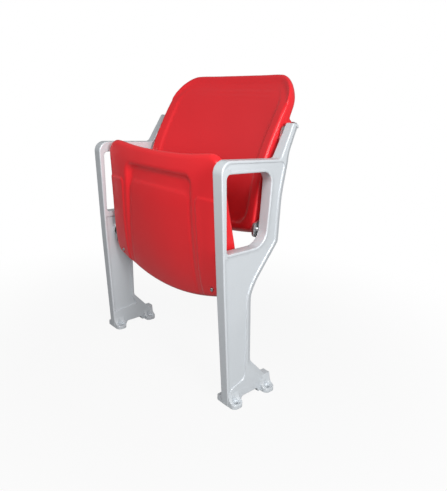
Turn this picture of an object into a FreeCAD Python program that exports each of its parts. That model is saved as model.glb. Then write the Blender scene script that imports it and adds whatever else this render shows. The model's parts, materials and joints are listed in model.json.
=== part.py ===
import FreeCAD, Part
import math
import os
import Sketcher

# Tip-up stadium seat on two cast side standards, shown with the seat tipped up.
# X runs across the seat, -Y is the way the sitter faces, Z is up.
# The origin is on the floor, in the middle of the four inner anchor holes.
# Pieces are drawn with Y measured from the arms' front faces and set out at the end.

os.makedirs("parts", exist_ok=True)
doc = FreeCAD.newDocument("StadiumSeat")
V = FreeCAD.Vector

# Driving dimensions, in millimetres and degrees
DIMENSIONS = {
    "outer_plane": (295.5, "centre plane to a standard's outer face"),
    "arm_width": (33.5, "width of the arm's casting"),
    "foot_draft": (8.0, "how much narrower the leg is at the floor"),
    "top_draft": (13.0, "how much narrower the upright is at its top"),
    "arm_height": (641.0, "floor to the top of the arm"),
    "bevel_width": (13.0, "sloping strip along the rear of the outer face"),
    "bevel_depth": (5.5, "how far that strip falls away at the rear"),
    "bevel_rim": (4.0, "flat rim ahead of that strip"),
    "edge_radius": (3.0, "softening of the casting's edges"),
    "rim_width": (6.5, "raised rim round the outer face"),
    "web_recess": (2.2, "depth of the web behind the rim"),
    "panel_recess": (5.0, "depth of the panel in the inner face"),
    "ear_inner": (246.0, "centre plane to the inner ear's end"),
    "ear_outer": (318.0, "centre plane to the outer ear's end"),
    "ear_width": (36.0, "fore and aft width of a foot ear"),
    "ear_height": (11.0, "thickness of an ear at its end"),
    "flare_height": (42.0, "height where the ear flows into the leg"),
    "front_ear": (65.0, "Y of the front anchor holes"),
    "rear_ear": (185.0, "Y of the rear anchor holes"),
    "anchor_hole": (11.0, "bore for a floor anchor"),
    "spotface": (20.0, "washer seat round an anchor hole"),
    "inner_hole": (259.0, "centre plane to the inner anchor holes"),
    "outer_hole": (306.0, "centre plane to the outer anchor holes"),
    "pivot_y": (72.0, "hinge axis behind the arm's front"),
    "pivot_z": (350.0, "hinge axis above the floor"),
    "boss_face": (263.0, "centre plane to the machined face of the bosses"),
    "boss_diameter": (46.0, "pivot boss on the casting"),
    "shaft_diameter": (16.0, "hinge shaft"),
    "shaft_end": (287.0, "centre plane to the shaft's end"),
    "shaft_bore": (17.6, "clearance bore for the shaft in the seat"),
    "running_gap": (0.05, "radial play between shaft and bush"),
    "washer_thickness": (3.0, "thrust washer"),
    "seat_side": (252.0, "centre plane to the seat's side"),
    "plate_thickness": (4.0, "hinge plate"),
    "bush_wall": (3.0, "wall of the flanged bush"),
    "stop_radius": (36.0, "hinge axis to the stop pin"),
    "stop_diameter": (8.0, "stop pin"),
    "buffer_diameter": (12.0, "rubber buffer"),
    "seat_travel": (70.0, "swing from tipped up to in use"),
    "seat_recess": (6.0, "depth of the seat's front panel at its top"),
    "back_side": (250.0, "centre plane to the backrest's side"),
    "bracket_thickness": (6.0, "back bracket"),
}
sheet = doc.addObject("Spreadsheet::Sheet", "Dimensions")
for row, (alias, (value, meaning)) in enumerate(DIMENSIONS.items(), start=1):
    sheet.set(f"A{row}", alias)
    sheet.set(f"B{row}", str(value))
    sheet.set(f"C{row}", meaning)
    sheet.setAlias(f"B{row}", alias)
doc.recompute()


def dim(alias):
    """Value of one driving dimension."""
    return float(sheet.get(alias))


def bind(obj, **expressions):
    """Bind properties of an object to cells of the sheet."""
    for prop, text in expressions.items():
        for alias in sorted(DIMENSIONS, key=len, reverse=True):
            text = text.replace("@" + alias, "Dimensions." + alias)
        obj.setExpression(prop.replace("__", "."), text)
    return obj


# Sketch planes: where a sketch's own x, y and normal point
SIDE = FreeCAD.Rotation(V(0, 1, 0), V(0, 0, 1), V(1, 0, 0), "ZXY")
FRONT = FreeCAD.Rotation(V(1, 0, 0), V(0, 0, 1), V(0, -1, 0), "ZXY")
PLAN = FreeCAD.Rotation()


def rounded_outline(points):
    """Closed outline through corners (a, b, radius), as lines and tangent arcs."""
    count = len(points)
    starts, ends, arcs = [], [], []
    for i in range(count):
        a, b, radius = points[i]
        corner = V(a, b, 0)
        before = (V(*points[i - 1][:2], 0) - corner).normalize()
        after = (V(*points[(i + 1) % count][:2], 0) - corner).normalize()
        if radius == 0:
            starts.append(corner)
            ends.append(corner)
            arcs.append(None)
            continue
        half = before.getAngle(after) / 2
        reach = radius / math.tan(half)
        first = corner + before * reach
        last = corner + after * reach
        centre = corner + (before + after).normalize() * (radius / math.sin(half))
        middle = centre + (corner - centre).normalize() * radius
        starts.append(first)
        ends.append(last)
        arcs.append(Part.Arc(first, middle, last))
    edges = []
    for i in range(count):
        if arcs[i]:
            edges.append(arcs[i])
        following = starts[(i + 1) % count]
        if ends[i].distanceToPoint(following) > 1e-6:
            edges.append(Part.LineSegment(ends[i], following))
    return edges


def inset(points, distance):
    """Corners of an outline moved inwards; the corners run clockwise round the metal."""
    count = len(points)
    moved = []
    for i in range(count):
        here = V(*points[i][:2], 0)
        before = (here - V(*points[i - 1][:2], 0)).normalize()
        after = (V(*points[(i + 1) % count][:2], 0) - here).normalize()
        turn = before.cross(after).z
        normal = V(before.y, -before.x, 0)
        next_normal = V(after.y, -after.x, 0)
        shift = (normal + next_normal) * (distance / (1 + normal.dot(next_normal)))
        radius = points[i][2]
        if radius:
            radius = max(radius - distance, 1.5) if turn < 0 else radius + distance
        moved.append((here.x + shift.x, here.y + shift.y, radius))
    return moved


def sketch(name, edges, plane, base=V(0, 0, 0), **expressions):
    """Sketch of a closed outline on one of the three planes."""
    obj = doc.addObject("Sketcher::SketchObject", name)
    obj.addGeometry(edges, False)
    obj.Placement = FreeCAD.Placement(base, plane)
    return bind(obj, **expressions)


def extrusion(name, base, length, symmetric=False):
    """Solid extruded from a sketch along its normal; the length is an expression."""
    obj = doc.addObject("Part::Extrusion", name)
    obj.Base = base
    obj.DirMode = "Normal"
    obj.Solid = True
    obj.Symmetric = symmetric
    return bind(obj, LengthFwd=length)


def cylinder(name, radius, height, x, y, z, axis="X"):
    """Cylinder along an axis from a point; every size is an expression."""
    obj = doc.addObject("Part::Cylinder", name)
    turn = {"X": FreeCAD.Rotation(V(0, 1, 0), 90), "Y": FreeCAD.Rotation(V(1, 0, 0), 90),
            "Z": FreeCAD.Rotation()}[axis]
    obj.Placement = FreeCAD.Placement(V(0, 0, 0), turn)
    return bind(obj, Radius=radius, Height=height, Placement__Base__x=x,
                Placement__Base__y=y, Placement__Base__z=z)


def cut(name, base, tool):
    """First object less the second."""
    obj = doc.addObject("Part::Cut", name)
    obj.Base = base
    obj.Tool = tool
    return obj


def fuse(name, shapes):
    """Several objects as one solid, without seams on shared faces."""
    obj = doc.addObject("Part::MultiFuse", name)
    obj.Shapes = shapes
    obj.Refine = True
    return obj


def made(name, shape):
    """Object holding a shape worked out with the geometry functions."""
    obj = doc.addObject("Part::Feature", name)
    obj.Shape = shape
    return obj


nodes = {}


def node(obj, label):
    """Name an object as a finished piece."""
    obj.Label = label
    nodes[label] = obj
    return obj


def both_sides(obj, label):
    """A right-hand piece and its mirror image on the left."""
    node(obj, "right_" + label)
    twin = doc.addObject("Part::Mirroring", "Left" + obj.Name)
    twin.Source = obj
    twin.Base = V(0, 0, 0)
    twin.Normal = V(1, 0, 0)
    node(twin, "left_" + label)


# Side standards
# Corners of the side view, clockwise from the front of the foot: y, z, corner radius
ARM_TOP = dim("arm_height")
OUTLINE = [
    (46.5, 0, 0),
    (19.5, 330, 2500),
    (-0.5, ARM_TOP, 30),
    (204, ARM_TOP - 9, 15),
    (254, 720, 6),
    (279, 716, 8),
    (240, 646, 120),
    (218, 540, 300),
    (212.5, 416, 16),
    (140, 328, 90),
    (119, 292, 60),
    (127, 103, 20),
    (203, 24, 9),
    (208, 0, 0),
    (160, 0, 0),
    (154, 12, 5),
    (98, 12, 5),
    (92, 0, 0),
]
# Corners of the opening under the arm
OPENING = [
    (26, 415, 10),
    (18, ARM_TOP - 32.5, 12),
    (173, ARM_TOP - 37.5, 28),
    (168, 520, 200),
    (159, 415, 42),
]
INNER_PLANE = dim("outer_plane") - dim("arm_width")
TALL = 760.0


# Ends of the web recess: under the upright and above the foot
WEB_CORNER = (218.3, 624.8, 10)
WEB_FOOT = [
    (106, 60, 20),
    (57, 46, 8),
]
# The front post, which keeps its full depth
FRONT_POST = [
    (-20, 404, 0),
    (-20, ARM_TOP - 20, 0),
    (28, ARM_TOP - 20, 0),
    (28, 404, 0),
]
# Corners of the leg below the window, for its inner panel
LEG_PANEL = [
    (41, 50, 10),
    (12.5, 407, 8),
    (196, 407, 14),
    (140, 328, 90),
    (119, 292, 60),
    (127, 100, 20),
    (150, 60, 10),
]
# Directions from the hinge axis to the two rubber buffers, in degrees above the rear
STOP_REST = -60.0
CONTACT = 2 * math.degrees(math.asin(
    (dim("buffer_diameter") + dim("stop_diameter") + 0.4) / 4 / dim("stop_radius")))
BUFFER_ANGLES = {
    "Up": STOP_REST - CONTACT,
    "Down": STOP_REST + dim("seat_travel") + CONTACT,
}


def around_pivot(angle):
    """Y and Z from the hinge axis to a point on the stop pin's circle."""
    reach = dim("stop_radius")
    return reach * math.cos(math.radians(angle)), reach * math.sin(math.radians(angle))


def rod(radius, x0, x1, y, z):
    """Round bar along X between two planes."""
    return Part.makeCylinder(radius, x1 - x0, V(x0, y, z), V(1, 0, 0))


# Brackets behind the backrest
BRACKET_OUT = INNER_PLANE - 2.0
BRACKET_IN = BRACKET_OUT - dim("bracket_thickness")
# For each bracket: where its rear flange sits and how it leans, the corners of its side plate,
# its bolts into the casting, and a screw into the backrest's side, all as Y and Z
BRACKETS = {
    "lower": {
        "flange": (214.0, 470.0, 11.0),
        "plate": [(217.8, 489.6, 0), (210.2, 450.4, 0), (200, 424, 10), (149, 430, 12),
                  (152, 464, 13), (178, 474, 20), (196, 490, 10)],
        "bolts": [(191, 466), (184, 438)],
        "side_screws": [(166, 450)],
    },
    "upper": {
        "flange": (290.0, 700.0, 27.0),
        "plate": [(299.1, 717.8, 0), (280.9, 682.2, 0), (258, 664, 8), (235, 668, 9),
                  (246, 710, 11), (270, 718, 12)],
        "bolts": [(256.5, 700), (245.5, 680)],
        "side_screws": [],
    },
}


def bracket_frame(place):
    """Position and lean of a bracket's rear flange."""
    y, z, lean = BRACKETS[place]["flange"]
    return FreeCAD.Placement(V(0, y, z), FreeCAD.Rotation(V(1, 0, 0), -lean))


def bracket_mounts(radius, x0, x1):
    """A round boss or bore in the standard at each bracket bolt."""
    spots = BRACKETS["lower"]["bolts"] + BRACKETS["upper"]["bolts"]
    return Part.makeCompound([rod(radius, x0, x1, y, z) for y, z in spots])


def make_standard():
    """One cast standard: leg, arm and back upright round an open window."""
    side = sketch("StandardSide", rounded_outline(OUTLINE), SIDE,
                  Placement__Base__x="@outer_plane - @arm_width - 4")
    blank = extrusion("StandardBlank", side, "@arm_width + 4")

    # The leg narrows towards the floor on its inner face, the upright on its outer face
    slope = dim("foot_draft") / ARM_TOP
    lean = [
        (INNER_PLANE - 5, -1, 0),
        (INNER_PLANE - 5, TALL, 0),
        (INNER_PLANE - slope * (TALL - ARM_TOP), TALL, 0),
        (INNER_PLANE + slope * (ARM_TOP + 1), -1, 0),
    ]
    outer = dim("outer_plane")
    crown = [
        (outer, ARM_TOP - 20, 60),
        (outer - dim("top_draft"), TALL, 0),
        (outer + 1, TALL, 0),
        (outer + 1, ARM_TOP - 60, 0),
        (outer, ARM_TOP - 60, 0),
    ]
    lean_tool = extrusion("LegDraft", sketch("LegDraftFront", rounded_outline(lean), FRONT),
                          "900", symmetric=True)
    crown_tool = extrusion("UprightDraft",
                           sketch("UprightDraftFront", rounded_outline(crown), FRONT),
                           "900", symmetric=True)
    window = extrusion("Window", sketch("WindowSide", rounded_outline(OPENING), SIDE),
                       "400")
    drafted = cut("StandardDrafted", cut("StandardLeaned", blank, lean_tool), crown_tool)
    opened = cut("StandardOpened", drafted, window)
    doc.recompute()
    bevel = made("RearBevel", rear_bevel(opened.Shape))
    casting = soften(opened, "StandardSoft", dim("edge_radius"), standard_edge)

    # Shallow web behind the rim on the outer face, and a deeper panel in the leg's inner face
    casting = cut("StandardWebbed", casting, web_tool())
    casting = cut("StandardPanelled", casting, panel_tool())
    casting = cut("StandardBevelled", casting, bevel)

    # Ears of the foot, pivot boss and the seats of the buffers and brackets
    added = [casting, foot("Front", "@front_ear"), foot("Rear", "@rear_ear")]
    added.append(cylinder("PivotBoss", "@boss_diameter / 2", "16", "@boss_face", "@pivot_y",
                          "@pivot_z"))
    for place, angle in BUFFER_ANGLES.items():
        y, z = around_pivot(angle)
        added.append(cylinder(place + "BufferBoss", "@buffer_diameter / 2 + 3", "12",
                              "@boss_face", f"@pivot_y + {y:.3f}", f"@pivot_z + {z:.3f}"))
    added.append(made("BracketBosses", bracket_mounts(9.5, BRACKET_OUT, BRACKET_OUT + 12)))
    solid = fuse("StandardSolid", added)
    bore = cylinder("ShaftSeat", "@shaft_diameter / 2", "@shaft_end - @boss_face + 11",
                    "@boss_face - 10", "@pivot_y", "@pivot_z")
    tools = [bore, made("BracketBores", bracket_mounts(4.0, BRACKET_OUT - 2, BRACKET_OUT + 20))]
    for ear, y in (("Front", "@front_ear"), ("Rear", "@rear_ear")):
        for place, x in (("Inner", "@inner_hole"), ("Outer", "@outer_hole")):
            tools.append(cylinder(ear + place + "Anchor", "@anchor_hole / 2", "60", x, y,
                                  "-1", "Z"))
            tools.append(cylinder(ear + place + "Spotface", "@spotface / 2", "60", x, y,
                                  "@ear_height - 1", "Z"))
    return cut("Standard", solid, fuse("StandardBores", tools))


def rear_edge(edge):
    """Outer edges along the casting's rear, from the foot's flare to the upright's top."""
    middle = edge.valueAt((edge.FirstParameter + edge.LastParameter) / 2)
    if middle.x < 284 or edge.BoundBox.XLength > 9 or middle.z > 700 or middle.z < 55:
        return False
    if middle.z > 413:
        return middle.y - 0.55 * max(middle.z - 628, 0) > 206
    return middle.y > 115


def rear_bevel(shape):
    """Wedge swept along the rear of the outer face, which leaves a sloping strip."""
    path = Part.Wire(Part.__sortEdges__([edge for edge in shape.Edges if rear_edge(edge)]))
    first = path.OrderedEdges[0]
    start = path.OrderedVertexes[0].Point
    nearer = min((first.FirstParameter, first.LastParameter),
                 key=lambda parameter: first.valueAt(parameter).distanceToPoint(start))
    sideways = V(1, 0, 0)
    inward = sideways.cross(first.tangentAt(nearer))
    inward = inward.normalize() * (-1 if inward.y > 0 else 1)
    slope = dim("bevel_width") / dim("bevel_depth")
    past = 1.0
    corners = [
        start + sideways * past + inward * slope * (dim("bevel_depth") + past),
        start - sideways * (dim("bevel_depth") + past) - inward * slope * past,
        start + sideways * past - inward * slope * past,
    ]
    sweep = Part.BRepOffsetAPI.MakePipeShell(path)
    sweep.setBiNormalMode(sideways)
    sweep.setTransitionMode(1)
    sweep.add(Part.makePolygon(corners + corners[:1]), False, False)
    sweep.build()
    sweep.makeSolid()
    return sweep.shape()


def web_tool():
    """Recess of the outer face: inside the rim, round the back of the window."""
    rim = dim("rim_width")
    ahead_of_bevel = inset(OUTLINE[:12], dim("bevel_width") + dim("bevel_rim"))[7:11]
    corners = inset(OUTLINE[:12], rim)[:3] + [WEB_CORNER] + ahead_of_bevel + WEB_FOOT
    within = sketch("WebOutline", rounded_outline(corners), SIDE)
    around = sketch("WebWindow", rounded_outline(inset(OPENING, -rim)), SIDE)
    post = sketch("WebPost", rounded_outline(FRONT_POST), SIDE)
    slab = extrusion("WebSlab", within, "400")
    kept = fuse("WebKept", [extrusion("WebWindowSlab", around, "400"),
                            extrusion("WebPostSlab", post, "400")])
    region = cut("WebRegion", slab, kept)
    doc.recompute()
    skin = doc.getObject("StandardSoft").Shape.copy()
    skin.translate(V(-dim("web_recess"), 0, 0))
    return made("WebTool", region.Shape.cut(skin).common(Part.makeBox(
        60, 900, 900, V(dim("outer_plane") - dim("top_draft") - 6, -100, -50))))


def panel_tool():
    """Panel in the leg's inner face, below the window."""
    rim = dim("rim_width") + 2
    corners = inset(LEG_PANEL, rim)
    region = extrusion("PanelSlab", sketch("PanelOutline", rounded_outline(corners), SIDE), "400")
    doc.recompute()
    skin = doc.getObject("StandardSoft").Shape.copy()
    skin.translate(V(dim("panel_recess"), 0, 0))
    near = Part.makeBox(50, 900, 900, V(INNER_PLANE - 20, -100, -50))
    return made("PanelTool", region.Shape.common(near).cut(skin))


def foot(place, ear_y):
    """A pair of ears whose tops sweep up into the leg."""
    inner, outer = dim("ear_inner"), dim("ear_outer")
    low, high = dim("ear_height"), dim("flare_height")
    leg_inner = INNER_PLANE + dim("foot_draft") * (1 - high / ARM_TOP)
    leg_outer = dim("outer_plane")
    flare = [
        (inner, 0, 0),
        (inner, low, 3),
        (leg_inner - 4, low + 3, 15),
        (leg_inner + 2, high, 0),
        (leg_outer - 2, high, 0),
        (leg_outer + 4, low + 3, 15),
        (outer, low, 3),
        (outer, 0, 0),
    ]
    front_view = sketch(place + "FootFront", rounded_outline(flare), FRONT,
                        Placement__Base__y=ear_y)
    swept = extrusion(place + "FootSwept", front_view, "@ear_width", symmetric=True)
    plan = [
        (inner, -dim("ear_width") / 2, 13),
        (outer, -dim("ear_width") / 2, 13),
        (outer, dim("ear_width") / 2, 13),
        (inner, dim("ear_width") / 2, 13),
    ]
    plan_view = sketch(place + "FootPlan", rounded_outline(plan), PLAN, Placement__Base__y=ear_y)
    common = doc.addObject("Part::Common", place + "Foot")
    common.Base = swept
    common.Tool = extrusion(place + "FootPlanSolid", plan_view, "@flare_height + 10")
    return common


def standard_edge(edge):
    """Long edges between the side faces and the rim, clear of the foot."""
    box = edge.BoundBox
    along_side = box.XLength < 14 and box.DiagonalLength > 6
    return along_side and box.ZMin > 30


def soften(source, name, radius, chosen):
    """Fillet the edges that a test picks out."""
    obj = doc.addObject("Part::Fillet", name)
    obj.Base = source
    picked = []
    for number, edge in enumerate(source.Shape.Edges, start=1):
        if chosen(edge):
            picked.append((number, radius, radius))
    obj.Edges = picked
    doc.recompute()
    return obj


right_casting = make_standard()
both_sides(right_casting, "standard")


# Moulded shells
# Each row: share of the height from the bottom, front Y and rear Y at the side edge
SEAT_STATIONS = [
    (0.06, 57, 105),
    (0.15, 50.5, 109),
    (0.28, 45, 105),
    (0.43, 41, 93),
    (0.59, 37, 78),
    (0.75, 32, 64.5),
    (0.88, 28.5, 58),
    (0.95, 29.5, 57.5),
]
BACK_STATIONS = [
    (0.05, 158, 197),
    (0.20, 168, 210),
    (0.37, 181, 226),
    (0.50, 197, 244),
    (0.64, 226, 271),
    (0.77, 256, 295),
    (0.88, 286, 313),
    (0.95, 305, 327),
]
SEAT = {
    "stations": SEAT_STATIONS, "half": dim("seat_side"), "edge": 9.0,
    "bottom": 237.0, "bottom_rise": 46.0, "bottom_corner": 14.0, "bottom_cap": 12.0,
    "top": 636.0, "top_rise": 18.0, "top_corner": 40.0, "top_cap": 13.0,
    "front_crown": -13.0, "rear_crown": -20.0, "even": False,
}
BACK = {
    "stations": BACK_STATIONS, "half": dim("back_side"), "edge": 8.0,
    "bottom": 405.0, "bottom_rise": 31.0, "bottom_corner": 26.0, "bottom_cap": 12.0,
    "top": 845.0, "top_rise": 0.0, "top_corner": 84.0, "top_cap": 9.0,
    "front_crown": 26.0, "rear_crown": 26.0, "even": True,
}


def rounding(across, half, radius):
    """How far a quarter-round edge has fallen away at a distance from the middle."""
    past = across - (half - radius)
    if past <= 0:
        return 0.0
    return radius - math.sqrt(max(radius * radius - past * past, 0.0))


def slopes(stations, column):
    """Slope of a smooth curve through one column of the stations, at each of them."""
    found = []
    for here in range(len(stations)):
        before, after = stations[max(here - 1, 0)], stations[min(here + 1, len(stations) - 1)]
        found.append((after[column] - before[column]) / (after[0] - before[0]))
    return found


def profile(stations, column, height):
    """Y of the front (column 1) or rear (column 2) at a share of the height."""
    tangents = slopes(stations, column)
    if height <= stations[0][0]:
        return stations[0][column] + tangents[0] * (height - stations[0][0])
    if height >= stations[-1][0]:
        return stations[-1][column] + tangents[-1] * (height - stations[-1][0])
    place = max(n for n, row in enumerate(stations) if row[0] <= height)
    low, high = stations[place], stations[place + 1]
    span = high[0] - low[0]
    t = (height - low[0]) / span
    return ((2 * t ** 3 - 3 * t ** 2 + 1) * low[column]
            + (t ** 3 - 2 * t ** 2 + t) * span * tangents[place]
            + (3 * t ** 2 - 2 * t ** 3) * high[column]
            + (t ** 3 - t ** 2) * span * tangents[place + 1])


def section_points(form, x, move=0.0):
    """Points round the section of a shell in the plane at x, from the front's bottom."""
    across = abs(x)
    half = form["half"]
    share = (across / half) ** 2
    drawn_in = rounding(across, half, form["edge"])
    floor = form["bottom"] + form["bottom_rise"] * share
    ceiling = form["top"] + form["top_rise"] * share
    low = floor + rounding(across, half, form["bottom_corner"]) + drawn_in
    high = ceiling - rounding(across, half, form["top_corner"]) - drawn_in
    front, rear = [], []
    for row in form["stations"]:
        z = low + (high - low) * row[0]
        height = (z - floor) / (ceiling - floor)
        swell = 1.0 if form["even"] else math.sin(math.pi * height)
        crown = (1 - share) * swell
        front_y = profile(form["stations"], 1, height) + form["front_crown"] * crown
        rear_y = profile(form["stations"], 2, height) + form["rear_crown"] * crown
        front.append(V(x, front_y + drawn_in + move, z))
        rear.append(V(x, rear_y - drawn_in + move, z))
    return front + cap(front[-1], rear[-1], high) + rear[::-1] + cap(rear[0], front[0], low)


def spacing(form):
    """Parameters shared by every section of a shell, from the lengths in the middle one."""
    points = section_points(form, 0.0)
    lengths = [0.0]
    for here, following in zip(points, points[1:] + points[:1]):
        lengths.append(lengths[-1] + math.sqrt(here.distanceToPoint(following)))
    return [length / lengths[-1] for length in lengths]


def shell_section(form, x, move=0.0):
    """Closed smooth section of a shell."""
    points = section_points(form, x, move)
    curve = Part.BSplineCurve()
    curve.interpolate(Points=points, PeriodicFlag=True, Parameters=form["parameters"])
    return Part.Wire([curve.toShape()])


def cap(first, last, limit):
    """Three points that carry a section round its end, up or down to a limit."""
    middle = (first + last) * 0.5
    points = []
    for turn in (45, 90, 135):
        side = math.cos(math.radians(turn))
        rise = math.sin(math.radians(turn))
        points.append(V(middle.x, middle.y + (first.y - middle.y) * side,
                        middle.z + (limit - middle.z) * rise))
    return points


def shell(form, move=0.0):
    """Solid of a shell, lofted smoothly from side to side."""
    half, corner = form["half"], form["top_corner"]
    form["parameters"] = spacing(form)
    across = []
    for turn in (90, 78, 66, 54, 42, 28, 14, 0):
        across.append(half - corner * (1 - math.sin(math.radians(turn))))
    across += [(half - corner) * share for share in (0.7, 0.35)]
    stations = [-x for x in across] + [0.0] + across[::-1]
    return Part.makeLoft([shell_section(form, x, move) for x in stations], True, False)


def front_slab(points, depth=600):
    """Slab through the object, from the front, inside an outline in the front view."""
    wire = Part.Wire([edge.toShape() for edge in rounded_outline(points)])
    turn = FreeCAD.Placement(V(0, -100, 0), FRONT)
    face = Part.Face(wire)
    face.Placement = turn
    return face.extrude(V(0, depth, 0))


def ahead(region, form, depth, sign=1):
    """The part of a region that lies in front of a shell, to a depth below its skin."""
    return region.cut(shell(form, sign * depth))


def mirrored_outline(points):
    """Outline in the front view from its right-hand corners, top to bottom."""
    return points + [(-x, z, r) for x, z, r in points[::-1]]


def sunk(region, form, depth):
    """The part of a region ahead of a skin that sinks from the shell's foot to its top."""
    skin = shell(form)
    tilt = math.degrees(math.atan2(depth, form["top"] - form["bottom"]))
    skin.rotate(V(0, form["stations"][0][1], form["bottom"]), V(1, 0, 0), -tilt)
    return region.cut(skin)


def side_box(x0, x1, y0, y1, z0, z1, radius):
    """Block between two X planes, its four edges along X rounded."""
    corners = [(y0, z0, radius), (y0, z1, radius), (y1, z1, radius), (y1, z0, radius)]
    wire = Part.Wire([edge.toShape() for edge in rounded_outline(corners)])
    face = Part.Face(wire)
    face.Placement = FreeCAD.Placement(V(x0, 0, 0), SIDE)
    return face.extrude(V(x1 - x0, 0, 0))


def mirrored(shape):
    """Left-hand twin of a shape."""
    return shape.mirror(V(0, 0, 0), V(1, 0, 0))


def pair(shape, label):
    """Right-hand piece and its mirror image, as two finished nodes."""
    name = "".join(word.capitalize() for word in label.split("_"))
    both_sides(made("Right" + name, shape), label)


PIVOT_Y, PIVOT_Z = dim("pivot_y"), dim("pivot_z")
SIDE_X = dim("seat_side")
PLATE_IN = SIDE_X + 0.3
PLATE_OUT = PLATE_IN + dim("plate_thickness")
BUSH_RADIUS = dim("shaft_diameter") / 2 + dim("bush_wall")
BUSH_INNER = dim("shaft_diameter") / 2 + dim("running_gap")
FLANGE_OUT = PLATE_OUT + 2.2
FLANGE_RADIUS = 15.0
WASHER_IN = dim("boss_face") - dim("washer_thickness")
BLOCK = {"x0": 206.0, "y0": 55.0, "y1": 93.0, "z0": 312.0, "z1": 398.0, "corner": 7.0}
BLOCK_GAP = 0.3
SCREW_X, SCREW_Y, SCREW_Z = 214.0, 53.6, 296.0
SPRING_ROOM = 34.0
SPRING_POCKET = 15.5
SPRING = {"wire": 2.5, "radius": 12.0, "pitch": 3.4, "turns": 7, "leg": 8.0}
SPRING_LENGTH = SPRING["pitch"] * SPRING["turns"]
SPRING_IN = BLOCK["x0"] - SPRING_LENGTH - 3


def seat_shell():
    """The seat: a moulding with a stepped front panel, raised cheeks and hinge pockets."""
    solid = shell(SEAT)
    cheek = front_slab([(181, 150, 0), (172, 536, 8), (300, 536, 0), (300, 150, 0)], 160)
    raised = cheek.common(shell(SEAT, -6.0))
    solid = solid.fuse([raised, mirrored(raised)])
    panel = front_slab(mirrored_outline([(149, 586, 26), (172, 150, 0)]), 200)
    inner = front_slab(mirrored_outline([(137, 538, 18), (160, 150, 0)]), 200)
    step = sunk(panel.cut(inner), SEAT, dim("seat_recess"))
    solid = solid.cut([step, sunk(inner, SEAT, dim("seat_recess") - 1.8)])
    room = side_box(BLOCK["x0"] - BLOCK_GAP, SIDE_X + 5, BLOCK["y0"] - BLOCK_GAP,
                    BLOCK["y1"] + BLOCK_GAP, BLOCK["z0"] - BLOCK_GAP,
                    BLOCK["z1"] + BLOCK_GAP, BLOCK["corner"] + BLOCK_GAP)
    spring_room = rod(SPRING_POCKET, BLOCK["x0"] - SPRING_ROOM, BLOCK["x0"], PIVOT_Y, PIVOT_Z)
    screw = Part.makeCylinder(2.4, 36, V(SCREW_X, SCREW_Y - 2, SCREW_Z), V(0, 1, 0))
    seat_of_screw = Part.makeCylinder(6.0, 30, V(SCREW_X, SCREW_Y - 28, SCREW_Z), V(0, 1, 0))
    bore = rod(dim("shaft_bore") / 2, -300, 300, PIVOT_Y, PIVOT_Z)
    tools = [bore]
    for tool in (room, spring_room, screw, seat_of_screw):
        tools += [tool, mirrored(tool)]
    return solid.cut(tools)


def pan_screw(radius, head, length, shank):
    """Screw along +Z with a domed head below the origin plane and a cross recess."""
    top = Part.makeCylinder(radius, head, V(0, 0, -head))
    rim = [edge for edge in top.Edges if abs(edge.BoundBox.ZMax + head) < 1e-6]
    top = top.makeFillet(head * 0.7, rim)
    slot = Part.makeBox(radius * 1.1, radius * 0.3, head * 0.6,
                        V(-radius * 0.55, -radius * 0.15, -head - 0.01))
    cross = slot.copy()
    cross.rotate(V(0, 0, 0), V(0, 0, 1), 90)
    return top.cut([slot, cross]).fuse(Part.makeCylinder(shank, length))


def placed(shape, turn, base):
    """Copy of a shape with a rotation and a position."""
    copy = shape.copy()
    copy.Placement = FreeCAD.Placement(base, turn)
    return copy


INTO_SEAT = FreeCAD.Rotation(V(1, 0, 0), -90)
TO_RIGHT = FreeCAD.Rotation(V(0, 1, 0), 90)
TO_LEFT = FreeCAD.Rotation(V(0, 1, 0), -90)

node(made("SeatShell", seat_shell()), "seat_shell")
pair(placed(pan_screw(5.0, 3.2, 30, 2.3), INTO_SEAT, V(SCREW_X, SCREW_Y, SCREW_Z)),
     "seat_screw")

# Hinge: a shaft fixed in both standards, and a block, bush and plate in each side of the seat
shaft = rod(dim("shaft_diameter") / 2, -dim("shaft_end"), dim("shaft_end"), PIVOT_Y, PIVOT_Z)
ends = [edge for edge in shaft.Edges if edge.BoundBox.XLength < 0.01]
leg_hole = Part.makeCylinder(SPRING["wire"] / 2 + 0.15, 7, V(SPRING_IN, PIVOT_Y, PIVOT_Z - 10))
shaft = shaft.makeChamfer(1.0, ends).cut([leg_hole, mirrored(leg_hole)])
node(made("PivotShaft", shaft), "pivot_shaft")

PLATE_SCREWS = [(61, 389), (86, 389), (61, 321)]


def hinge_block():
    """Moulded block that carries the bush inside the seat's side."""
    solid = side_box(BLOCK["x0"], SIDE_X, BLOCK["y0"], BLOCK["y1"], BLOCK["z0"], BLOCK["z1"],
                     BLOCK["corner"])
    holes = [rod(BUSH_RADIUS, BLOCK["x0"] + 20, 300, PIVOT_Y, PIVOT_Z),
             rod(dim("shaft_bore") / 2, 200, 300, PIVOT_Y, PIVOT_Z)]
    holes += [rod(2.4, SIDE_X - 18, SIDE_X + 1, y, z) for y, z in PLATE_SCREWS]
    holes.append(rod(SPRING["wire"] / 2 + 0.15, BLOCK["x0"] - 1, BLOCK["x0"] + 6, PIVOT_Y,
                     PIVOT_Z - SPRING["radius"]))
    return solid.cut(holes)


def flanged_bush():
    """Plain bearing pressed into the block, its flange outside the plate."""
    body = rod(BUSH_RADIUS, BLOCK["x0"] + 20, PLATE_OUT, PIVOT_Y, PIVOT_Z)
    flange = rod(FLANGE_RADIUS, PLATE_OUT, FLANGE_OUT, PIVOT_Y, PIVOT_Z)
    return body.fuse(flange).cut(rod(BUSH_INNER, 200, 300, PIVOT_Y, PIVOT_Z)).removeSplitter()


def stop_place(angle):
    """Y and Z of a point on the stop pin's circle."""
    y, z = around_pivot(angle)
    return PIVOT_Y + y, PIVOT_Z + z


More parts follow.
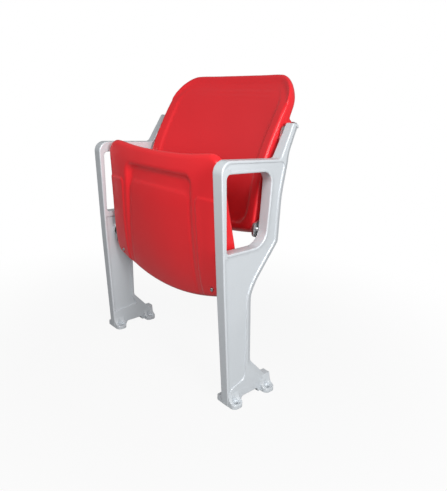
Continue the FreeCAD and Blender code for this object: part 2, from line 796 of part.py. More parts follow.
def hinge_plate():
    """Steel plate on the seat's side, with the lobe that carries the stop pin."""
    pin_y, pin_z = stop_place(STOP_REST)
    corners = [(52, 313, 6), (52, 397, 8), (95, 397, 8), (101, 350, 24),
               (pin_y + 12, pin_z - 1, 11), (pin_y - 2, pin_z - 10.5, 10), (76, 312, 12)]
    wire = Part.Wire([edge.toShape() for edge in rounded_outline(corners)])
    face = Part.Face(wire)
    face.Placement = FreeCAD.Placement(V(PLATE_IN, 0, 0), SIDE)
    solid = face.extrude(V(PLATE_OUT - PLATE_IN, 0, 0))
    holes = [rod(BUSH_RADIUS + 0.1, 240, 270, PIVOT_Y, PIVOT_Z),
             rod(dim("stop_diameter") / 2, 240, 270, pin_y, pin_z)]
    holes += [countersunk(y, z, 0.1) for y, z in PLATE_SCREWS]
    return solid.cut(holes)


def countersunk(y, z, gap=0.0):
    """Countersunk screw along X, its head flush with the hinge plate."""
    head = Part.makeCone(2.3 + gap, 4.8 + gap, 2.6, V(PLATE_OUT - 2.6, y, z), V(1, 0, 0))
    return head.fuse(rod(2.3 + gap, SIDE_X - 16 - 10 * gap, PLATE_OUT - 2.6, y, z))


def torsion_spring():
    """Coil round the shaft; one end enters the shaft, the other the hinge block."""
    radius, thin = SPRING["radius"], SPRING["wire"] / 2
    helix = Part.makeHelix(SPRING["pitch"], SPRING_LENGTH, radius)
    section = Part.Wire([Part.Circle(V(radius, 0, 0), V(0, 1, 0), thin).toShape()])
    coil = Part.Wire(helix.Edges).makePipeShell([section], True, True)
    shaft_leg = Part.makeCylinder(thin, radius - 4, V(radius, 0, 0), V(-1, 0, 0))
    block_leg = Part.makeCylinder(thin, SPRING["leg"], V(radius, 0, SPRING_LENGTH - 0.5))
    bends = [Part.makeSphere(thin, V(radius, 0, z)) for z in (0, SPRING_LENGTH)]
    solid = coil.fuse([shaft_leg, block_leg] + bends)
    return placed(solid, TO_RIGHT, V(SPRING_IN, PIVOT_Y, PIVOT_Z))


pair(hinge_block(), "hinge_block")
pair(flanged_bush(), "pivot_bush")
pair(hinge_plate(), "hinge_plate")
pin_y, pin_z = stop_place(STOP_REST)
pair(rod(dim("stop_diameter") / 2, PLATE_IN, dim("boss_face") - 1, pin_y, pin_z), "stop_pin")
plate_screws = Part.makeCompound([countersunk(y, z) for y, z in PLATE_SCREWS])
pair(plate_screws, "plate_screws")
washer = rod(dim("boss_diameter") / 2 - 1, WASHER_IN, dim("boss_face"), PIVOT_Y, PIVOT_Z)
washer = washer.cut(rod(BUSH_INNER + 0.2, 200, 300, PIVOT_Y, PIVOT_Z))
pair(washer, "thrust_washer")
pair(torsion_spring(), "return_spring")

for place, angle in BUFFER_ANGLES.items():
    y, z = stop_place(angle)
    buffer = rod(dim("buffer_diameter") / 2, FLANGE_OUT - 1.2, dim("boss_face"), y, z)
    pair(buffer, place.lower() + "_buffer")

# Backrest, with X of the screws that enter it from behind
REAR_SCREWS = (212.0, 236.0)


def bracket(place):
    """Angle bracket: a side plate on the standard and a flange behind the backrest."""
    wire = Part.Wire([edge.toShape() for edge in rounded_outline(BRACKETS[place]["plate"])])
    face = Part.Face(wire)
    face.Placement = FreeCAD.Placement(V(BRACKET_IN, 0, 0), SIDE)
    thick = dim("bracket_thickness")
    plate = face.extrude(V(thick, 0, 0))
    flange = Part.makeBox(54, thick - 1, 40, V(BRACKET_IN - 53, -thick + 1, -20))
    uprights = [edge for edge in flange.Edges
                if edge.BoundBox.YLength > 1 and edge.BoundBox.XMax < BRACKET_IN - 40]
    flange = flange.makeFillet(9, uprights)
    flange_holes = [Part.makeCylinder(3.4, 20, V(x, 5, 0), V(0, -1, 0)) for x in REAR_SCREWS]
    flange = flange.cut(flange_holes)
    flange.Placement = bracket_frame(place)
    holes = [rod(4.2, 240, 270, y, z) for y, z in BRACKETS[place]["bolts"]]
    holes += [rod(3.4, 240, 270, y, z) for y, z in BRACKETS[place]["side_screws"]]
    return plate.fuse(flange).removeSplitter().cut(holes)


def bracket_bolts(place):
    """Bolts from the side plate into the standard."""
    one = pan_screw(6.5, 3.2, 20, 3.9)
    spots = BRACKETS[place]["bolts"]
    return Part.makeCompound([placed(one, TO_RIGHT, V(BRACKET_IN, y, z)) for y, z in spots])


def back_screws(place):
    """Screws through the bracket into the backrest, from behind and from the side."""
    one = pan_screw(6.0, 3.6, 28, 3.1)
    behind = Part.makeCompound([placed(one, FreeCAD.Rotation(V(1, 0, 0), 90), V(x, 0, 0))
                                for x in REAR_SCREWS])
    behind.Placement = bracket_frame(place)
    beside = [placed(one, TO_LEFT, V(BRACKET_OUT, y, z))
              for y, z in BRACKETS[place]["side_screws"]]
    return Part.makeCompound(behind.Solids + beside)


def rear_pad(place):
    """Moulded pad that carries a bracket's rear flange."""
    thick = dim("bracket_thickness")
    block = Part.makeBox(58, 30, 46, V(BRACKET_IN - 62, -29 - thick, -23))
    uprights = [edge for edge in block.Edges if edge.BoundBox.YLength > 1]
    block = block.makeFillet(8, uprights)
    block.Placement = bracket_frame(place)
    return block


def flange_seat(place):
    """Room behind the backrest's pad for a bracket's rear flange."""
    thick = dim("bracket_thickness")
    room = Part.makeBox(66, 16, 46, V(BRACKET_IN - 62, 1 - thick, -23))
    room.Placement = bracket_frame(place)
    return room


def backrest_shell():
    """The backrest: a double-walled moulding with a framed panel and four rear pads."""
    solid = shell(BACK)
    inside = front_slab([(-400, 380, 0), (-400, 900, 0), (400, 900, 0), (400, 380, 0)])
    pads, seats = [], []
    for place in BRACKETS:
        pads += [rear_pad(place), mirrored(rear_pad(place))]
        seats += [flange_seat(place), mirrored(flange_seat(place))]
    solid = solid.fuse(pads).common(inside).cut(seats)
    panel = mirrored_outline([(217, 817, 58), (215, 446, 52)])
    solid = solid.cut(ahead(front_slab(panel, 600), BACK, 4.5).common(panel_front()))
    holes = []
    for place in BRACKETS:
        for x in REAR_SCREWS:
            hole = Part.makeCylinder(3.2, 34, V(x, 0, 0), V(0, -1, 0))
            hole.Placement = bracket_frame(place)
            holes += [hole, mirrored(hole)]
        for y, z in BRACKETS[place]["side_screws"]:
            hole = rod(3.2, BRACKET_OUT - 34, BRACKET_OUT, y, z)
            holes += [hole, mirrored(hole)]
    return solid.cut(holes)


def panel_front():
    """Everything ahead of the middle of the backrest's thickness."""
    return shell(BACK).fuse(shell(BACK, -14.0)).common(shell(BACK, -9.0))


node(made("BackrestShell", backrest_shell()), "backrest_shell")
for place in BRACKETS:
    pair(bracket(place), place + "_back_bracket")
    pair(bracket_bolts(place), place + "_bracket_bolts")
    pair(back_screws(place), place + "_back_screws")

doc.recompute()
for obj in doc.Objects:
    if "Invalid" in obj.State or "Error" in obj.State:
        raise RuntimeError(f"{obj.Name} did not compute: {obj.State}")
for label, obj in nodes.items():
    if obj.Shape.isNull() or not obj.Shape.isValid():
        raise RuntimeError(f"{label} has no valid shape")

# Set-out: the origin goes to the middle of the anchor holes
SET_OUT = V(0, -(dim("front_ear") + dim("rear_ear")) / 2, 0)
for label, obj in nodes.items():
    shape = obj.Shape.translated(SET_OUT)
    shape.exportStep(f"parts/{label}.step")
    size = shape.BoundBox
    print(f"{label}: {size.XLength:.1f} x {size.YLength:.1f} x {size.ZLength:.1f} mm,"
          f" {shape.Volume / 1000:.1f} cm3, {len(shape.Solids)} solid(s)")
print(f"Least gap between the spring's turns: {SPRING['pitch'] - SPRING['wire']:.2f} mm")
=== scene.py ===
# %% [markdown]
# # A tip-up stadium seat
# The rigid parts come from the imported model, which this script loads as a fixed frame.
# Everything here is about how the object looks: the finish of each surface, the light on it
# and the place it is seen from. Lengths are in metres; +X runs to the near armrest, +Y to the
# back and +Z up.

# %% Load the frame
import json
import math

import bmesh
import bpy
from mathutils import Matrix, Vector


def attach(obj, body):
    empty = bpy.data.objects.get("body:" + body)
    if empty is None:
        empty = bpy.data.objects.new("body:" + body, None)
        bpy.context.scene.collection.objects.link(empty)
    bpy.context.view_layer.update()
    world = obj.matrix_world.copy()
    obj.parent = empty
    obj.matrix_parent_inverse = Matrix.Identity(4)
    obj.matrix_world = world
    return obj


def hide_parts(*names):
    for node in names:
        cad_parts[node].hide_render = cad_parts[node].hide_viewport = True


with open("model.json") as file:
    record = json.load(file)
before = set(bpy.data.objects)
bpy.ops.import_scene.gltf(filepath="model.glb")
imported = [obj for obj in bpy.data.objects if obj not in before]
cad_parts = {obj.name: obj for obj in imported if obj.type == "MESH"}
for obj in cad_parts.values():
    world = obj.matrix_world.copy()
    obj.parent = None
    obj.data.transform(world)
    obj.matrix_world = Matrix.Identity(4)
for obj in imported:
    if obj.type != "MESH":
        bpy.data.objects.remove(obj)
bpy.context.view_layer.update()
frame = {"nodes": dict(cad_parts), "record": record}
nodes = frame["nodes"]
print("Pieces in the frame:", len(nodes))

# %% [markdown]
# ## The camera
# A picture like this one is taken from in front of the near armrest, a little above it. The
# camera could be aimed with a Track To constraint, but a lens that is a little off level needs
# its own roll, so the camera's three axes are worked out from a compass angle, a dip and a roll.
# The frame's middle isn't on the lens axis, and the lens shift carries that.

# %% Place the camera
CAMERA_PLACE = Vector((1.094, -0.869, 0.782))
COMPASS, DIP, ROLL = math.radians(50.0), math.radians(13.1), math.radians(0.95)

ahead = Vector((-math.sin(COMPASS) * math.cos(DIP), math.cos(COMPASS) * math.cos(DIP),
                -math.sin(DIP)))
level = Vector((math.cos(COMPASS), math.sin(COMPASS), 0.0))
upward = level.cross(ahead)
across = math.cos(ROLL) * level + math.sin(ROLL) * upward
upward = across.cross(ahead)

lens = bpy.data.cameras.new("Lens")
lens.lens = 35.93
lens.sensor_width = 36.0
lens.shift_x = 0.0568
lens.shift_y = -0.0719
lens.clip_start = 0.05
camera = bpy.data.objects.new("Camera", lens)
bpy.context.scene.collection.objects.link(camera)
turn = Matrix((across, upward, -ahead)).transposed()
camera.matrix_world = Matrix.Translation(CAMERA_PLACE) @ turn.to_4x4()
bpy.context.scene.camera = camera
print("Camera at", tuple(CAMERA_PLACE))

# %% [markdown]
# ## Shader maths as plain expressions
# A finish is a tree of nodes. Clicking nodes together works for one material, but a dozen
# materials are easier to read as formulas, so a Signal wraps an output socket and every
# arithmetic sign on it adds the Math node that does the sum. The reflected forms are there as
# well, so that 1 - mask works.


# %% Signal
class Signal:
    """A value that flows out of a node."""

    def __init__(self, finish, socket):
        self.finish = finish
        self.socket = socket

    def sum(self, operation, *terms):
        return self.finish.add("ShaderNodeMath", {"operation": operation},
                               dict(enumerate(terms)))

    def __add__(self, other):
        return self.sum("ADD", self, other)

    def __sub__(self, other):
        return self.sum("SUBTRACT", self, other)

    def __rsub__(self, other):
        return self.sum("SUBTRACT", other, self)

    def __mul__(self, other):
        return self.sum("MULTIPLY", self, other)

    def clipped(self):
        """The same value, held between 0 and 1."""
        limited = self.sum("ADD", self, 0.0)
        limited.socket.node.use_clamp = True
        return limited

    __radd__ = __add__
    __rmul__ = __mul__


# %% [markdown]
# ## A finish
# A Finish holds the tree of one material, or of the world. Its method add makes any node from
# its kind, its settings and what goes into its sockets. The other methods are short names for
# what every finish here needs: noise, smooth ramps, blends, relief and rolled edges.


# %% A finish as a tree
class Finish:
    """A material or a world, written as a tree of nodes."""

    def __init__(self, name, owner=None):
        self.material = owner or bpy.data.materials.new(name)
        self.material.use_nodes = True
        self.tree = self.material.node_tree
        self.tree.nodes.clear()

    def add(self, kind, settings=None, sockets=None, out=0):
        """One node: its kind, its settings, its sockets, and the output to go on from."""
        made = self.tree.nodes.new(kind)
        for name, value in (settings or {}).items():
            setattr(made, name, value)
        for name, value in (sockets or {}).items():
            if isinstance(value, Signal):
                self.tree.links.new(value.socket, made.inputs[name])
            else:
                made.inputs[name].default_value = value
        return Signal(self, made.outputs[out])

    def place(self):
        """Where a point of the piece is, in the piece's own metres."""
        return self.add("ShaderNodeTexCoord", out="Object")

    def grain(self, scale, detail=2.0, roughness=0.5):
        """Soft noise of so many waves to the metre."""
        return self.add("ShaderNodeTexNoise", {"noise_dimensions": "3D"},
                        {"Vector": self.place(), "Scale": scale, "Detail": detail,
                         "Roughness": roughness}, "Fac")

    def ramp(self, value, low, high, start=0.0, end=1.0):
        """A value carried from one range to another, smoothly and within its ends."""
        return self.add("ShaderNodeMapRange", {"interpolation_type": "SMOOTHSTEP"},
                        {"Value": value, "From Min": low, "From Max": high,
                         "To Min": start, "To Max": end})

    def blend(self, share, first, second):
        """A colour between two."""
        return self.add("ShaderNodeMix", {"data_type": "RGBA", "clamp_factor": True},
                        {0: share, 6: first, 7: second}, 2)

    def relief(self, height, depth, under=None):
        """Surface relief from a height, on top of another relief."""
        sockets = {"Height": height, "Distance": depth, "Strength": 1.0}
        if under:
            sockets["Normal"] = under
        return self.add("ShaderNodeBump", None, sockets)

    def axis(self, letter):
        """One coordinate of a point of the piece."""
        return self.add("ShaderNodeSeparateXYZ", None, {0: self.place()}, letter)

    def away(self, point):
        """Distance from a fixed point of the piece."""
        return self.add("ShaderNodeVectorMath", {"operation": "DISTANCE"},
                        {0: self.place(), 1: point}, "Value")

    def rounded(self, width, samples=6):
        """A normal that rolls over every edge, as if it had that radius."""
        return self.add("ShaderNodeBevel", {"samples": samples}, {"Radius": width})

    def edges(self, width):
        """1 on sharp edges, 0 on open faces, from how far a rounded normal leans away."""
        rounded = self.rounded(width, 4)
        facing = self.add("ShaderNodeNewGeometry", out="Normal")
        alike = self.add("ShaderNodeVectorMath", {"operation": "DOT_PRODUCT"},
                         {0: rounded, 1: facing}, "Value")
        return self.ramp(1.0 - alike, 0.02, 0.25)

    def surface(self, **sockets):
        """Finish the material with a principled surface."""
        named = {name.replace("_", " "): value for name, value in sockets.items()}
        self.show(self.add("ShaderNodeBsdfPrincipled", None, named))
        return self.material

    def show(self, shader, outlet="ShaderNodeOutputMaterial"):
        """Send a shader to the outlet of the tree."""
        last = self.tree.nodes.new(outlet)
        self.tree.links.new(shader.socket, last.inputs["Surface"])


# %% [markdown]
# ## Moulded red plastic
# The seat and the backrest are hollow polyethylene mouldings with a satin gloss. A plain red
# with even gloss looks like paint on glass. The mould leaves a fine leathery grain, the thick
# wall cools with slow waves in it, and handling scuffs the gloss, so relief works at two scales
# and the roughness wanders. It stays above 0.28: the denoiser takes a surface smoother than about
# 0.27 for a mirror, and draws a thin line wherever the noise crosses that value. The backrest is
# The backrest's copy of the red is painted a tenth darker than the seat's. This is painted shade
# that holds down the extra lamp light on the backrest.


# %% Red plastic
finishes = {}


def moulded_red(name, painted_shade=1.0, marks=None):
    """The plastic, darkened by a factor as painted shading where one is given, with relief from
    marks where they are given.
    """
    red = Finish(name)
    # A factor below 1 darkens the red as painted shade.
    deep = (0.74 * painted_shade, 0.016, 0.022, 1.0)
    light = (0.80 * painted_shade, 0.021, 0.029, 1.0)
    scuffs = red.ramp(red.grain(9.0, 2.0), 0.30, 0.75)
    mottle = red.grain(5.0, 1.0)
    under = red.relief(red.grain(11.0, 0.0), 0.0012)
    if marks:
        under = red.relief(marks(red), 0.0006, under)
    skin = red.relief(red.grain(900.0, 1.0), 0.00005, under)
    return red.surface(Base_Color=red.blend(mottle, deep, light),
                       Roughness=0.29 + 0.08 * scuffs,
                       IOR=1.5, Specular_IOR_Level=0.42, Normal=skin)


finishes["seat_plastic"] = moulded_red("seat_red")
print("Seat:", finishes["seat_plastic"].name)

# %% [markdown]
# ## Marks of the moulding
# Near the top of the backrest the melt slows down and leaves a few faint level bands, and the
# gate leaves a round mark in the panel. Both are far too shallow to model. A sine of the height
# makes the bands, masks let them fade out, and a smooth ramp of the distance makes the mark. A
# last mask reads which way the surface faces and keeps both off the back.


# %% Bands and gate mark
BAND_RADIANS = 450.0
GATE_PLACE = (-0.065, 0.1203, 0.6687)


def flow_marks(red):
    """Height of the level bands and of the gate's round mark."""
    height = red.axis("Z") + 0.004 * red.grain(9.0, 1.0)
    bands = red.add("ShaderNodeMath", {"operation": "SINE"}, {0: BAND_RADIANS * height})
    near_top = red.ramp(height, 0.768, 0.798) * red.ramp(height, 0.842, 0.826)
    towards_side = red.ramp(red.axis("X"), -0.16, 0.02, 0.15, 1.0)
    towards_side = towards_side * red.ramp(red.axis("X"), 0.15, 0.18, 1.0, 0.0)
    gate = red.ramp(red.away(GATE_PLACE), 0.004, 0.012, 1.0, 0.0)
    normal = red.add("ShaderNodeNewGeometry", out="Normal")
    lean = red.add("ShaderNodeSeparateXYZ", None, {0: normal}, "Y")
    on_front = red.ramp(lean, -0.6, -0.3, 1.0, 0.0)
    return on_front * (0.45 * (bands * near_top * towards_side) + 0.4 * gate)


# The backrest gets the same red, darkened by 0.90 as painted shade.
finishes["back_plastic"] = moulded_red("back_red_painted_shade", 0.90, flow_marks)
print("Backrest:", finishes["back_plastic"].name, "with a band every",
      round(1000 * math.tau / BAND_RADIANS, 1), "mm")

# %% [markdown]
# ## Silver powder coat on cast metal
# The standards are castings with a baked silver-grey coat. The coat is neither mirror nor chalk:
# it has a fine orange-peel, the sand of the mould shows under it as a slower roughness, and it
# is smoother and more metallic along every edge. The light stripe that the castings catch along
# each edge is a painted highlight: the coat's colour is paled there towards near-white. The
# edges are found by the Bevel node, which knows an edge even where a mesh is loose triangles.


# %% Powder coat
def powder_coat():
    """Satin silver-grey coat, glossier along every edge, with a painted highlight paled into the
    colour there.
    """
    coat = Finish("silver_powder_coat")
    cloud = coat.grain(7.0, 3.0, 0.55)
    speck = coat.ramp(coat.grain(1500.0, 1.0), 0.45, 0.75)
    # The edge mask raises the gloss and pales the colour. The paler colour is a painted
    # highlight.
    edge_gloss_and_painted_highlight = coat.edges(0.0016) * coat.ramp(coat.grain(40.0, 3.0), 0.25, 0.60, 0.45, 1.0)
    base = coat.blend(cloud, (0.56, 0.595, 0.625, 1.0), (0.63, 0.665, 0.695, 1.0))
    base = coat.blend(0.10 * speck, base, (0.84, 0.86, 0.88, 1.0))
    # Painted highlight: the colour is paled towards near-white along every edge.
    base = coat.blend(0.75 * edge_gloss_and_painted_highlight, base, (0.90, 0.91, 0.93, 1.0))
    sand = coat.relief(coat.grain(120.0, 3.0), 0.0002, coat.rounded(0.0022))
    peel = coat.relief(coat.grain(1100.0, 1.0), 0.00004, sand)
    return coat.surface(Base_Color=base, Metallic=0.22 + 0.25 * edge_gloss_and_painted_highlight,
                        Roughness=0.38 + 0.10 * cloud - 0.10 * edge_gloss_and_painted_highlight, Normal=peel)


finishes["cast_metal"] = powder_coat()
print("Standards:", finishes["cast_metal"].name)

# %% [markdown]
# ## Hardware
# Brackets, hinge plates and screws are zinc plated, the shaft and the pins are turned steel, the
# bushes and washers are black nylon and the stops are rubber. They are small, so one recipe with
# different numbers serves them all: base colours that drift, a grain and a gloss.


# %% Hardware finishes
def hardware(name, dark, light, metallic, roughness, grain_size, depth, wear=0.0):
    """A small part's finish between two colours, with worn edges where wear is given."""
    part = Finish(name)
    drift = part.grain(30.0, 3.0)
    base = part.blend(drift, (*dark, 1.0), (*light, 1.0))
    gloss = roughness + 0.12 * drift
    if wear:
        worn = part.edges(0.0008) * part.ramp(part.grain(90.0, 2.0), 0.3, 0.6)
        base = part.blend(wear * worn, base, (0.55, 0.55, 0.55, 1.0))
        gloss = gloss - 0.15 * worn
    relief = part.relief(part.grain(grain_size, 2.0), depth)
    return part.surface(Base_Color=base, Metallic=metallic, Roughness=gloss, Normal=relief)


finishes.update({
    "plate_steel": hardware("zinc_plate", (0.40, 0.41, 0.42), (0.56, 0.57, 0.57),
                            1.0, 0.34, 500.0, 0.00003, 0.6),
    "bright_steel": hardware("turned_steel", (0.44, 0.45, 0.46), (0.58, 0.59, 0.60),
                             1.0, 0.26, 900.0, 0.00002),
    "screw_steel": hardware("zinc_screw", (0.46, 0.47, 0.48), (0.62, 0.62, 0.61),
                            1.0, 0.30, 1200.0, 0.00002),
    "nylon": hardware("black_nylon", (0.028, 0.028, 0.030), (0.042, 0.042, 0.044),
                      0.0, 0.45, 1500.0, 0.00003),
    "rubber": hardware("stop_rubber", (0.016, 0.016, 0.017), (0.028, 0.028, 0.029),
                       0.0, 0.75, 1300.0, 0.00006),
})
print("Finishes:", ", ".join(finishes))

# %% [markdown]
# ## Dressing the frame
# Every node of the frame names the material slot it belongs to. The node keeps its shape and
# gets the finish of its slot.

# %% Give each node its finish
slot_of = {entry["node"]: entry["material_slot"] for entry in frame["record"]["subparts"]}
for name, piece in nodes.items():
    piece.data.materials.clear()
    piece.data.materials.append(finishes[slot_of[name]])
print("Dressed nodes:", len(slot_of))

# %% [markdown]
# ## Soft skins for the two mouldings
# A blown moulding has no sharp line anywhere: each step in it is a slope, each edge is rolled
# over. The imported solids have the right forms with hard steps. A Bevel modifier can't work on
# their loose triangles, and modelling the shells anew would lose their size. So each moulding
# is copied, its triangles are merged, and a voxel remesh lays an even net of quads over it. The
# remesh leaves faint terraces, and a Shrinkwrap onto the solid takes most of their height out.

# %% Even copy of a moulding
CELL = 0.0028


def even_copy(node, name):
    """A copy of a node as an even net of quads."""
    merged = bmesh.new()
    merged.from_mesh(nodes[node].data)
    bmesh.ops.remove_doubles(merged, verts=merged.verts, dist=0.00001)
    mesh = bpy.data.meshes.new(name)
    merged.to_mesh(mesh)
    merged.free()
    piece = bpy.data.objects.new(name, mesh)
    bpy.context.scene.collection.objects.link(piece)
    net = piece.modifiers.new("even_net", "REMESH")
    net.mode = "VOXEL"
    net.voxel_size = CELL
    wrap = piece.modifiers.new("onto_the_solid", "SHRINKWRAP")
    wrap.target = nodes[node]
    wrap.wrap_method = "NEAREST_SURFACEPOINT"
    laid = piece.evaluated_get(bpy.context.evaluated_depsgraph_get())
    piece.data = bpy.data.meshes.new_from_object(laid)
    piece.modifiers.clear()
    return piece


print("Net of", round(1000 * CELL, 1), "mm")

# %% [markdown]
# ## Slopes on the net
# On an even net a step turns into a slope by moving points along one axis. Two measures say how
# far: one eases a value from 0 to 1, the other tells how deep a point lies inside a panel whose
# upper corners are round. Both take a point's distance from the middle, because the mouldings
# are the same on either side.


# %% Measures for a slope
def eased(value, low, high):
    """0 below low, 1 above high and a smooth rise between."""
    share = min(max((value - low) / (high - low), 0.0), 1.0)
    return share * share * (3.0 - 2.0 * share)


def within(across, height, top, half_at_top, spread, corner):
    """How far a point lies inside a panel with rounded upper corners."""
    side = half_at_top + spread * (top - height) - across
    down = top - height
    if side < corner and down < corner:
        return corner - math.hypot(corner - side, corner - down)
    return min(side, down)


# %% [markdown]
# ## Even surfaces and rolled edges
# The solid's triangles and the net's terraces show in the gloss, so the skin is smoothed. Many
# rounds on all of it would melt the edges, and a Smooth modifier knows no difference between an
# edge and an open face. So a few rounds take the folds out of the net, then the points near
# bends wait while the open skin gets many rounds, and a few last rounds on everything roll each
# edge over by the same few millimetres.

# %% Smooth the open skin, roll the edges
FIRST_ROUNDS, OPEN_ROUNDS, LAST_ROUNDS = 5, 60, 3
BEND = math.radians(4.5)
RINGS_ROUND_BEND = 2
FACES_BACK = 0.2


def near_bends(skin):
    """Points on edges that bend, and some rings of points round them."""
    skin.normal_update()
    found = set()
    for edge in skin.edges:
        if edge.calc_face_angle(0.0) > BEND:
            found.update(edge.verts)
    for ring in range(RINGS_ROUND_BEND):
        found.update([edge.other_vert(point) for point in found for edge in point.link_edges])
    return found


def smooth(skin, points, rounds):
    """Moves points halfway to the middle of their neighbours, some rounds long."""
    for turn in range(rounds):
        bmesh.ops.smooth_vert(skin, verts=points, factor=0.5, use_axis_x=True, use_axis_y=True,
                              use_axis_z=True)


def reshape(piece, set_back, keep):
    """Moves the front by set_back, evens the open skin and rolls the edges over."""
    skin = bmesh.new()
    skin.from_mesh(piece.data)
    skin.normal_update()
    for point in skin.verts:
        if point.normal.y < FACES_BACK:
            point.co.y += set_back(abs(point.co.x), point.co.y, point.co.z)
    free = [point for point in skin.verts if not keep(point.co)]
    smooth(skin, free, FIRST_ROUNDS)
    bends = near_bends(skin)
    smooth(skin, [point for point in free if point not in bends], OPEN_ROUNDS)
    smooth(skin, free, LAST_ROUNDS)
    for face in skin.faces:
        face.smooth = True
    skin.to_mesh(piece.data)
    print(piece.name, "has", 2 * len(skin.faces), "triangles;", len(bends), "of",
          len(skin.verts), "points lie near bends")
    skin.free()


# %% [markdown]
# ## In the place of the solid
# A reshaped moulding rides on the same body as the node it stands for, so the joint swings both
# alike, and the node isn't shown. Its finish is that of the node's slot.


# %% Ride on a body in place of a node
def stands_for(piece, node, body, slot):
    """Dresses a moulding, puts it in the node's place and lets it ride on the body."""
    piece.data.materials.clear()
    piece.data.materials.append(finishes[slot])
    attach(piece, body)
    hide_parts(node)


# %% [markdown]
# ## The seat's front
# Tipped up, the seat shows its underside: a panel that lies under the rim behind a broad soft
# slope, deepest at the top, and a low raised cheek on each side for the hinge. The slope takes
# the place of the solid's straight step, and the cheeks go back to half their height. Inside the
# panel a fine line marks where its middle stands a little proud. The holes for the hinge stay as
# the solid has them, so the smoothing leaves out the points round the hinge line.

# %% Seat moulding
# The front skin moves by all of it, the seat's sides behind it not at all
SEAT_FRONT, SEAT_SIDE = -0.066, -0.052
# The cheek's inner edge leans, so it is given at the seat's foot
CHEEK_EDGE, CHEEK_LEAN, CHEEK_FOOT = 0.181, 0.0233, 0.150
CHEEK_SET_BACK, CHEEK_TOP = 0.0032, 0.536
# The solid's own step grows with the height and is as narrow as the net allows
PANEL = {"top": 0.586, "half_at_top": 0.149, "spread": 0.0528, "corner": 0.026}
STEP_PER_METRE, STEP_FOOT, HARD_STEP = 0.01504, 0.237, 0.0013
# The slope that takes its place, with a deeper valley under the top rim
SLOPE_OUTSIDE, SLOPE_INSIDE = 0.008, 0.016
SLOPE_DEPTH, SLOPE_FOOT, SLOPE_RISE = 0.0105, 0.190, 0.396
VALLEY_DEPTH, VALLEY_FROM, VALLEY_TO = 0.0050, 0.495, 0.572
# The raised middle
MIDDLE = {"top": 0.538, "half_at_top": 0.137, "spread": 0.0593, "corner": 0.018}
PROUD, FINE_STEP = 0.0016, 0.002
# The hinge line, from the frame's own joint
HINGE = frame["record"]["behaviour"]["joints"][0]["pos_m"]
HINGE_CLEAR = 0.016


def seat_front(across, ahead_of, height):
    """How far a point of the seat goes back."""
    front = 1.0 - eased(ahead_of, SEAT_FRONT, SEAT_SIDE)
    beyond = across - CHEEK_EDGE + CHEEK_LEAN * (height - CHEEK_FOOT)
    beyond = min(beyond, CHEEK_TOP - height)
    cheek = CHEEK_SET_BACK * eased(beyond, -HARD_STEP, HARD_STEP)
    inside = within(across, height, **PANEL)
    straight = STEP_PER_METRE * (height - STEP_FOOT) * eased(inside, -HARD_STEP, HARD_STEP)
    depth = SLOPE_DEPTH * min(max((height - SLOPE_FOOT) / SLOPE_RISE, 0.0), 1.0)
    depth += VALLEY_DEPTH * eased(height, VALLEY_FROM, VALLEY_TO)
    slope = depth * eased(inside, -SLOPE_OUTSIDE, SLOPE_INSIDE)
    inner = PROUD * eased(within(across, height, **MIDDLE), -FINE_STEP, FINE_STEP)
    return front * (cheek + slope - straight - inner)


def near_hinge(place):
    """Whether a point lies by the holes for the hinge."""
    return math.hypot(place.y - HINGE[1], place.z - HINGE[2]) < HINGE_CLEAR


seat_skin = even_copy("seat_shell", "seat_moulding")
reshape(seat_skin, seat_front, near_hinge)
stands_for(seat_skin, "seat_shell", "seat", "seat_plastic")

# %% [markdown]
# ## The backrest's front
# The backrest's panel is a shallow one. Its edge is a clear soft line down the sides and fades
# out towards the top, where only the moulding's bands are left. The panel's lower corners are
# round as well, so it is measured a second time upside down.

# %% Backrest moulding
UPPER_END = {"top": 0.817, "half_at_top": 0.217, "spread": -0.0054, "corner": 0.058}
# Upside down: heights are taken from TURNED_OVER downwards
LOWER_END = {"top": 0.446, "half_at_top": 0.215, "spread": 0.0054, "corner": 0.052}
TURNED_OVER = 0.892
BACK_STEP, BACK_OUTSIDE, BACK_INSIDE = 0.0045, 0.004, 0.007
FADES_FROM, FADES_TO, FADED = 0.735, 0.800, 0.8


def back_front(across, ahead_of, height):
    """How far a point of the backrest goes back."""
    upper = within(across, height, **UPPER_END)
    lower = within(across, TURNED_OVER - height, **LOWER_END)
    inside = min(upper, lower)
    straight = BACK_STEP * eased(inside, -HARD_STEP, HARD_STEP)
    kept = 1.0 - FADED * eased(height, FADES_FROM, FADES_TO)
    return BACK_STEP * kept * eased(inside, -BACK_OUTSIDE, BACK_INSIDE) - straight


back_skin = even_copy("backrest_shell", "backrest_moulding")
reshape(back_skin, back_front, lambda place: False)
stands_for(back_skin, "backrest_shell", "frame", "back_plastic")

# %% [markdown]
# ## Floor, background and light
# A catalogue picture has a white ground. More light would wash out the object, so the whiteness
# comes from what the camera sees: the world and the floor turn white for camera, glossy and
# transmission rays alone. Near the seat the floor keeps part of its own shading, so the shadow
# stays; further out it fades to plain white and no horizon shows.


# %% White ground
AMBIENT, GLOSSY_SHARE = 0.26, 0.12
FLOOR_GREY, FLOOR_HALF = 0.36, 8.0
FADE_FROM, FADE_TO, WHITE_NEAR = 0.35, 1.3, 0.92


def seen_directly(finish):
    """1 for rays that only look, 0 for rays that light the object."""
    camera_ray = finish.add("ShaderNodeLightPath", out="Is Camera Ray")
    glossy_ray = finish.add("ShaderNodeLightPath", out="Is Glossy Ray")
    through_ray = finish.add("ShaderNodeLightPath", out="Is Transmission Ray")
    return (camera_ray + GLOSSY_SHARE * glossy_ray + through_ray).clipped()


world = bpy.data.worlds.new("Ground")
bpy.context.scene.world = world
sky = Finish("", world)
strength = AMBIENT + (1.0 - AMBIENT) * seen_directly(sky)
sky.show(sky.add("ShaderNodeBackground", None,
                 {"Color": (1.0, 1.0, 1.0, 1.0), "Strength": strength}),
         "ShaderNodeOutputWorld")

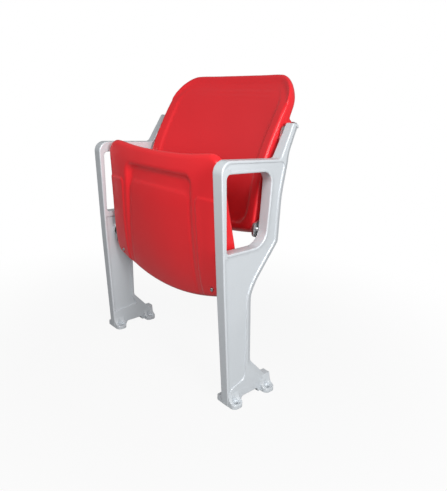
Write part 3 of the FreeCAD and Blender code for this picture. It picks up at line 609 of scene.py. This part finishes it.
pale = Finish("pale_floor")
matt = pale.add("ShaderNodeBsdfDiffuse", None,
                {"Color": (FLOOR_GREY, FLOOR_GREY, FLOOR_GREY, 1.0)})
white = pale.add("ShaderNodeEmission", None, {"Color": (1.0, 1.0, 1.0, 1.0), "Strength": 1.0})
share = pale.ramp(pale.away((0.0, 0.0, 0.0)), FADE_FROM, FADE_TO, WHITE_NEAR, 1.0)
pale.show(pale.add("ShaderNodeMixShader", None,
                   {0: share * seen_directly(pale), 1: matt, 2: white}))

ground = bmesh.new()
bmesh.ops.create_grid(ground, x_segments=1, y_segments=1, size=FLOOR_HALF)
mesh = bpy.data.meshes.new("floor")
ground.to_mesh(mesh)
ground.free()
mesh.materials.append(pale.material)
floor = bpy.data.objects.new("floor", mesh)
bpy.context.scene.collection.objects.link(floor)
print("Floor of", 2 * FLOOR_HALF, "m, plain light", AMBIENT)

# %% [markdown]
# ## Studio lamps
# The near armrest's outer face is the lightest metal, so the main softbox stands to the right of
# the lens. The fronts are lit from close by and above: they are bright at the top, darker
# towards the floor, and every slope that faces down is dark. That is what draws the seat's panel.
# A weak lamp beside the lens reaches what the armrest's opening shows.


# %% Three softboxes
def softbox(name, place, target, width, height, watts):
    """A rectangular lamp that points at a target."""
    lamp = bpy.data.lights.new(name, "AREA")
    lamp.shape = "RECTANGLE"
    lamp.size = width
    lamp.size_y = height
    lamp.energy = watts
    holder = bpy.data.objects.new(name, lamp)
    bpy.context.scene.collection.objects.link(holder)
    aim = (Vector(target) - Vector(place)).to_track_quat("-Z", "Y")
    holder.matrix_world = Matrix.Translation(place) @ aim.to_matrix().to_4x4()
    print(name, "at", place, "with", watts, "W")


softbox("side_softbox", (2.5, -0.45, 1.4), (0.2, 0.0, 0.4), 0.8, 1.4, 56.0)
softbox("front_softbox", (0.6, -0.9, 1.2), (0.0, 0.0, 0.45), 0.4, 0.4, 8.4)
softbox("lens_softbox", (1.4, -1.0, 0.95), (0.0, 0.0, 0.5), 0.5, 0.5, 1.8)
bpy.context.scene.view_settings.view_transform = "Standard"
